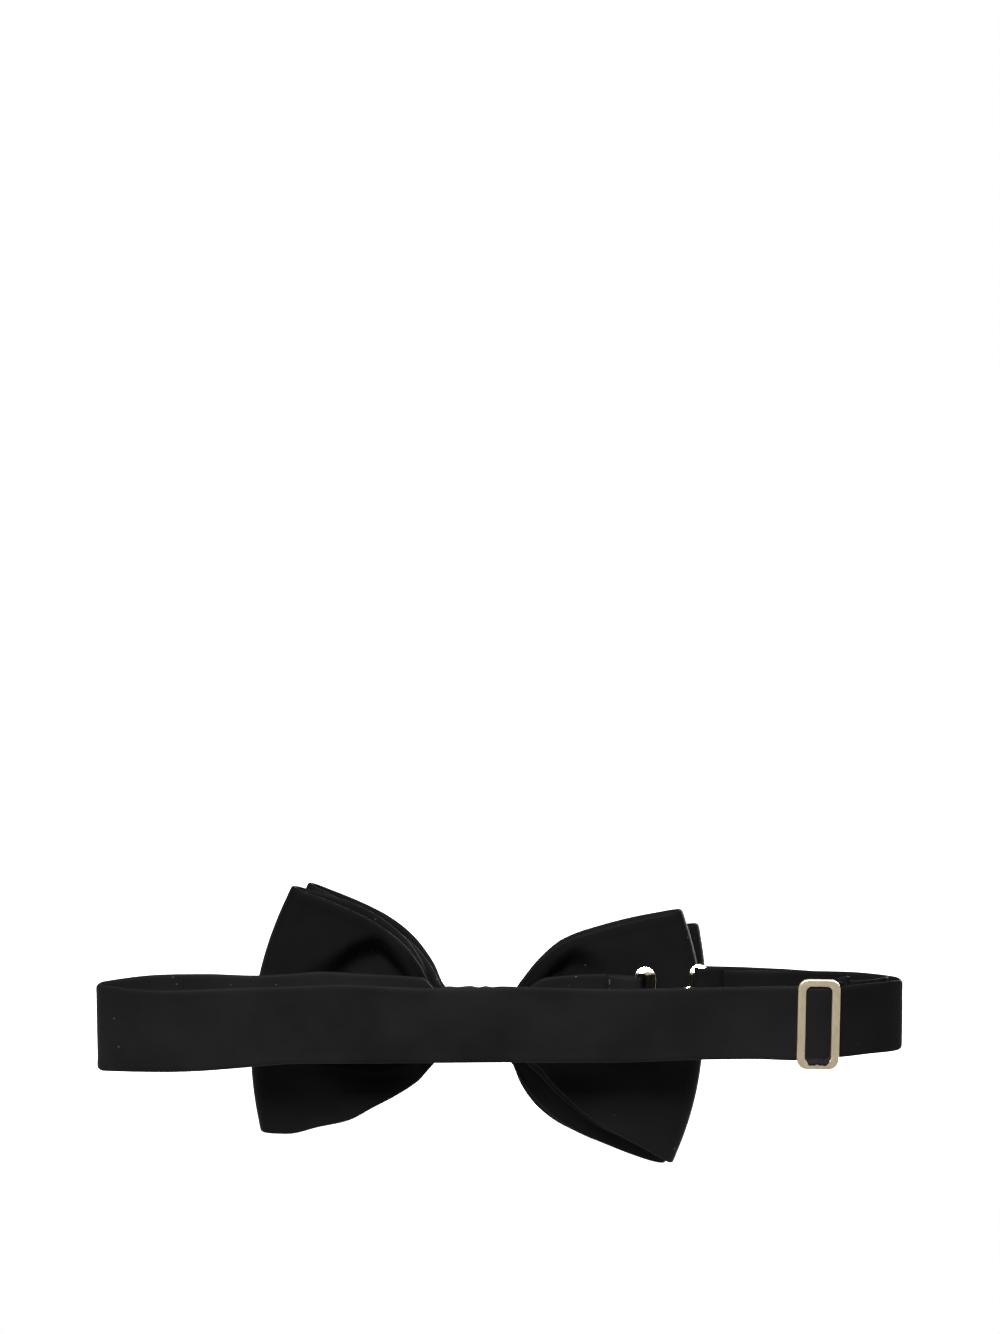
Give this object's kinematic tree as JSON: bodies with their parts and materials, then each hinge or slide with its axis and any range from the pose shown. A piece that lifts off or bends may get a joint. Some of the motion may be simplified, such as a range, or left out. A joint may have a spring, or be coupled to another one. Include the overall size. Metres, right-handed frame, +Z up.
{
  "type": "bow tie",
  "caption": "Pre-tied satin bow tie: layered butterfly wings on a centre knot, with an adjustable neck strap, a slide and a hook and eye clasp.",
  "frame": {"origin": "on the flat back of the knot, where the tie lies against the collar", "axes": "+Z up as worn, +X along the bow towards the long side of the strap, -Y the way the bow's front faces, +Y towards the neck"},
  "size_m": [0.2353, 0.0419, 0.0892],
  "materials": {
    "satin": "satin",
    "interlining": "matte",
    "thread": "satin",
    "pale_gold_metal": "satin"
  },
  "bodies": {
    "bow": {"front_bow": "satin", "front_bow_interlining": "interlining", "rear_bow": "satin", "rear_bow_interlining": "interlining", "waist_binding": "thread", "knot_padding": "interlining", "knot_wrap": "satin", "knot_stitches": "thread", "front_strap": "satin", "front_strap_interlining": "interlining", "hook_end_stitches": "thread", "left_fold": "satin"},
    "rear_strap": {"rear_strap": "satin", "rear_strap_interlining": "interlining", "right_fold": "satin", "right_fold_inner": "satin"},
    "eye_strap": {"eye_strap": "satin", "eye_strap_interlining": "interlining"},
    "slide": {"adjuster_slide": "pale_gold_metal", "slide_tail": "satin", "slide_tail_stitches": "thread"},
    "hook": {"clasp_hook": "pale_gold_metal"},
    "eye": {"clasp_eye": "pale_gold_metal"}
  },
  "joints": [
    {"name": "left_fold_opens", "type": "hinge", "parent": "bow", "child": "rear_strap", "pos_m": [0.1077, 0.00745, 0], "axis": [0, 0, -1], "range_deg": [0, 150], "deforming": ["left_fold"]},
    {"name": "right_fold_opens", "type": "hinge", "parent": "rear_strap", "child": "eye_strap", "pos_m": [-0.12045, 0.00745, 0], "axis": [0, 0, -1], "range_deg": [0, 150], "deforming": ["right_fold", "right_fold_inner"]},
    {"name": "slide_along_strap", "type": "slide", "parent": "rear_strap", "child": "slide", "axis": [1, 0, 0], "range_m": [0, 0.15]},
    {"name": "hook_swings", "type": "hinge", "parent": "bow", "child": "hook", "pos_m": [-0.0461, -0.00035, 0], "axis": [0, 0, 1], "range_deg": [-8, 8]},
    {"name": "eye_swings", "type": "hinge", "parent": "eye_strap", "child": "eye", "pos_m": [-0.065, -0.00035, 0], "axis": [0, 0, 1], "range_deg": [-12, 12]}
  ],
  "couplings": [
    {"joint": "right_fold_opens", "follows": "left_fold_opens", "ratio": 1},
    {"joint": "eye_swings", "follows": "hook_swings", "ratio": -1.377}
  ]
}
